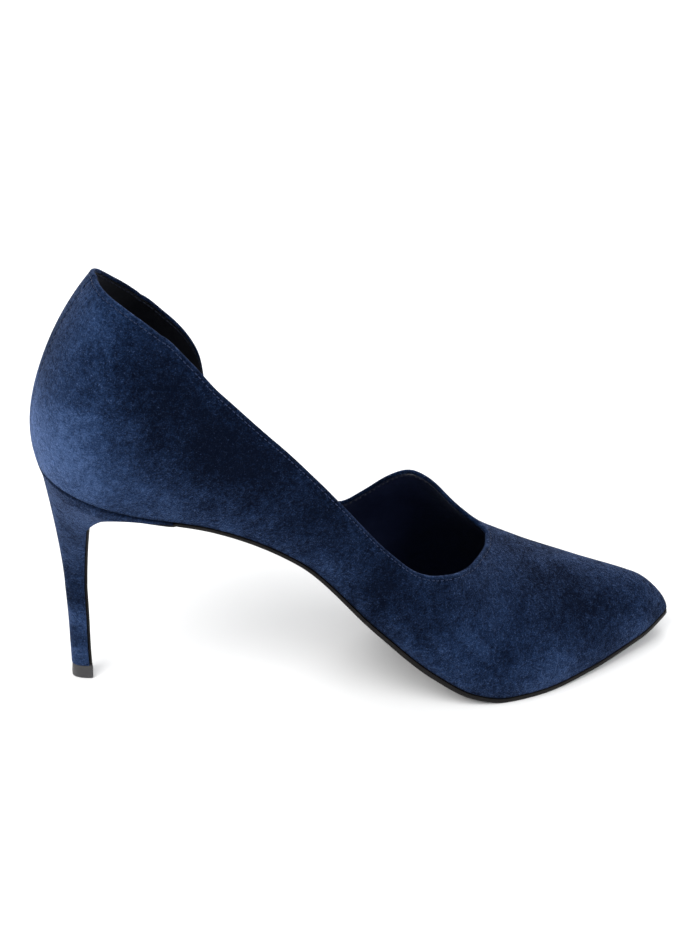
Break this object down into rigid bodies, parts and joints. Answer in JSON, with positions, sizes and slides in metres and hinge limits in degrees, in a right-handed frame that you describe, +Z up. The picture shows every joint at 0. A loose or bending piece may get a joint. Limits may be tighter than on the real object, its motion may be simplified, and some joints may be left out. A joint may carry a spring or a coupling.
{
  "type": "stiletto pump",
  "caption": "Right stiletto pump in navy suede with a pointed toe, closed on the outer side and cut away on the inner side of the waist.",
  "frame": {"origin": "centre of the bounding box's underside, on the floor", "axes": "+X from heel to toe, +Y towards the inner side of the foot, +Z up"},
  "size_m": [0.23, 0.0712, 0.1633],
  "materials": {
    "suede": "brushed nap, matte",
    "sock_leather": "smooth, soft sheen",
    "sole_leather": "satin, dyed black",
    "tip_plastic": "satin"
  },
  "bodies": {
    "root": {"upper": "suede", "insole": "sock_leather", "outsole": "sole_leather", "heel": "suede", "heel_tip": "tip_plastic"}
  },
  "joints": []
}
